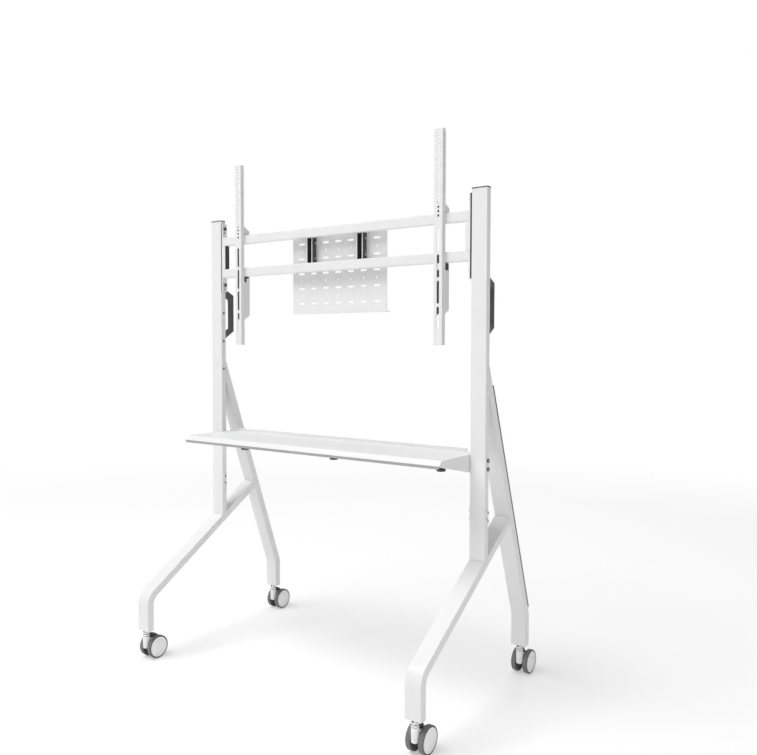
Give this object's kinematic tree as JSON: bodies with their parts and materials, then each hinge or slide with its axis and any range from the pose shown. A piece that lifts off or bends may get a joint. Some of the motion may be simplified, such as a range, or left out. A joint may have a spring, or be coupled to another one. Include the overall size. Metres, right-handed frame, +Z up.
{
  "type": "tv cart",
  "caption": "Rolling floor stand for a large screen: two columns on splayed legs and twin-wheel casters, sliding hook-on screen arms, a perforated plate, a shelf and handles.",
  "frame": {"origin": "on the floor, in the middle of the cart's box", "axes": "+Z up, the screen side faces -Y, +X to the right as seen from the screen side's viewer"},
  "size_m": [1.1216, 0.6934, 1.669],
  "materials": {
    "white_paint": "fine satin powder coat, white",
    "dark_paint": "satin powder coat, near black",
    "black_plastic": "matte moulded, black",
    "grey_plastic": "matte moulded, dark grey",
    "white_plastic": "smooth moulded, white",
    "tyre_rubber": "soft dark grey tread",
    "buffer_rubber": "matte black",
    "zinc_steel": "zinc plated"
  },
  "bodies": {
    "cart_frame": {"left_column": "white_paint", "left_column_cap": "grey_plastic", "left_front_leg": "white_paint", "left_rear_leg": "white_paint", "left_handle": "black_plastic", "left_end_bracket": "white_paint", "left_spacer": "black_plastic", "left_end_insert": "black_plastic", "left_hanger_bracket": "dark_paint", "right_column": "white_paint", "right_column_cap": "grey_plastic", "right_front_leg": "white_paint", "right_rear_leg": "white_paint", "right_handle": "black_plastic", "right_end_bracket": "white_paint", "right_spacer": "black_plastic", "right_end_insert": "black_plastic", "right_hanger_bracket": "dark_paint", "cable_cover": "grey_plastic", "lower_rail": "white_paint", "upper_rail": "white_paint", "device_plate": "white_paint", "shelf": "white_paint", "shelf_channel": "white_paint", "shelf_buffer_left": "buffer_rubber", "shelf_buffer_middle": "buffer_rubber", "shelf_buffer_right": "buffer_rubber", "front_left_caster_mount": "zinc_steel", "front_right_caster_mount": "zinc_steel", "rear_left_caster_mount": "zinc_steel", "rear_right_caster_mount": "zinc_steel"},
    "left_arm": {"left_screen_arm": "white_paint", "left_arm_hook": "white_paint", "left_latch_housing": "white_paint"},
    "left_catch": {"left_latch_catch": "black_plastic"},
    "right_arm": {"right_screen_arm": "white_paint", "right_arm_hook": "white_paint", "right_latch_housing": "white_paint"},
    "right_catch": {"right_latch_catch": "black_plastic"},
    "front_left_swivel": {"front_left_caster_hood": "white_plastic", "front_left_caster_axle": "zinc_steel"},
    "front_left_wheel_left": {"front_left_left_wheel": "tyre_rubber"},
    "front_left_wheel_right": {"front_left_right_wheel": "tyre_rubber"},
    "front_left_pedal": {"front_left_brake_pedal": "black_plastic"},
    "front_right_swivel": {"front_right_caster_hood": "white_plastic", "front_right_caster_axle": "zinc_steel"},
    "front_right_wheel_left": {"front_right_left_wheel": "tyre_rubber"},
    "front_right_wheel_right": {"front_right_right_wheel": "tyre_rubber"},
    "front_right_pedal": {"front_right_brake_pedal": "black_plastic"},
    "rear_left_swivel": {"rear_left_caster_hood": "white_plastic", "rear_left_caster_axle": "zinc_steel"},
    "rear_left_wheel_left": {"rear_left_left_wheel": "tyre_rubber"},
    "rear_left_wheel_right": {"rear_left_right_wheel": "tyre_rubber"},
    "rear_left_pedal": {"rear_left_brake_pedal": "black_plastic"},
    "rear_right_swivel": {"rear_right_caster_hood": "white_plastic", "rear_right_caster_axle": "zinc_steel"},
    "rear_right_wheel_left": {"rear_right_left_wheel": "tyre_rubber"},
    "rear_right_wheel_right": {"rear_right_right_wheel": "tyre_rubber"},
    "rear_right_pedal": {"rear_right_brake_pedal": "black_plastic"}
  },
  "joints": [
    {"name": "left_arm_slide", "type": "slide", "parent": "cart_frame", "child": "left_arm", "axis": [1, 0, 0], "range_m": [-0.062, 0.256]},
    {"name": "left_catch_hinge", "type": "hinge", "parent": "left_arm", "child": "left_catch", "pos_m": [-0.406, -0.0093, 1.2795], "axis": [1, 0, 0], "range_deg": [-30, 0], "stiffness_Nm_per_rad": 0.02, "springref_deg": 17.19},
    {"name": "right_arm_slide", "type": "slide", "parent": "cart_frame", "child": "right_arm", "axis": [1, 0, 0], "range_m": [-0.256, 0.062]},
    {"name": "right_catch_hinge", "type": "hinge", "parent": "right_arm", "child": "right_catch", "pos_m": [0.406, -0.0093, 1.2795], "axis": [1, 0, 0], "range_deg": [-30, 0], "stiffness_Nm_per_rad": 0.02, "springref_deg": 17.19},
    {"name": "front_left_swivel_turn", "type": "hinge", "parent": "cart_frame", "child": "front_left_swivel", "pos_m": [-0.532, -0.3342, 0.0615], "axis": [0, 0, 1], "continuous": true},
    {"name": "front_left_left_wheel_spin", "type": "hinge", "parent": "front_left_swivel", "child": "front_left_wheel_left", "pos_m": [-0.532, -0.3038, 0.0375], "axis": [1, 0, 0], "continuous": true},
    {"name": "front_left_right_wheel_spin", "type": "hinge", "parent": "front_left_swivel", "child": "front_left_wheel_right", "pos_m": [-0.532, -0.3038, 0.0375], "axis": [1, 0, 0], "continuous": true},
    {"name": "front_left_pedal_hinge", "type": "hinge", "parent": "front_left_swivel", "child": "front_left_pedal", "pos_m": [-0.532, -0.3142, 0.079], "axis": [1, 0, 0], "range_deg": [-8, 0]},
    {"name": "front_right_swivel_turn", "type": "hinge", "parent": "cart_frame", "child": "front_right_swivel", "pos_m": [0.532, -0.3342, 0.0615], "axis": [0, 0, 1], "continuous": true},
    {"name": "front_right_left_wheel_spin", "type": "hinge", "parent": "front_right_swivel", "child": "front_right_wheel_left", "pos_m": [0.532, -0.3038, 0.0375], "axis": [1, 0, 0], "continuous": true},
    {"name": "front_right_right_wheel_spin", "type": "hinge", "parent": "front_right_swivel", "child": "front_right_wheel_right", "pos_m": [0.532, -0.3038, 0.0375], "axis": [1, 0, 0], "continuous": true},
    {"name": "front_right_pedal_hinge", "type": "hinge", "parent": "front_right_swivel", "child": "front_right_pedal", "pos_m": [0.532, -0.3142, 0.079], "axis": [1, 0, 0], "range_deg": [-8, 0]},
    {"name": "rear_left_swivel_turn", "type": "hinge", "parent": "cart_frame", "child": "rear_left_swivel", "pos_m": [-0.532, 0.2788, 0.0615], "axis": [0, 0, 1], "continuous": true},
    {"name": "rear_left_left_wheel_spin", "type": "hinge", "parent": "rear_left_swivel", "child": "rear_left_wheel_left", "pos_m": [-0.532, 0.3092, 0.0375], "axis": [1, 0, 0], "continuous": true},
    {"name": "rear_left_right_wheel_spin", "type": "hinge", "parent": "rear_left_swivel", "child": "rear_left_wheel_right", "pos_m": [-0.532, 0.3092, 0.0375], "axis": [1, 0, 0], "continuous": true},
    {"name": "rear_left_pedal_hinge", "type": "hinge", "parent": "rear_left_swivel", "child": "rear_left_pedal", "pos_m": [-0.532, 0.2988, 0.079], "axis": [1, 0, 0], "range_deg": [-8, 0]},
    {"name": "rear_right_swivel_turn", "type": "hinge", "parent": "cart_frame", "child": "rear_right_swivel", "pos_m": [0.532, 0.2788, 0.0615], "axis": [0, 0, 1], "continuous": true},
    {"name": "rear_right_left_wheel_spin", "type": "hinge", "parent": "rear_right_swivel", "child": "rear_right_wheel_left", "pos_m": [0.532, 0.3092, 0.0375], "axis": [1, 0, 0], "continuous": true},
    {"name": "rear_right_right_wheel_spin", "type": "hinge", "parent": "rear_right_swivel", "child": "rear_right_wheel_right", "pos_m": [0.532, 0.3092, 0.0375], "axis": [1, 0, 0], "continuous": true},
    {"name": "rear_right_pedal_hinge", "type": "hinge", "parent": "rear_right_swivel", "child": "rear_right_pedal", "pos_m": [0.532, 0.2988, 0.079], "axis": [1, 0, 0], "range_deg": [-8, 0]}
  ]
}
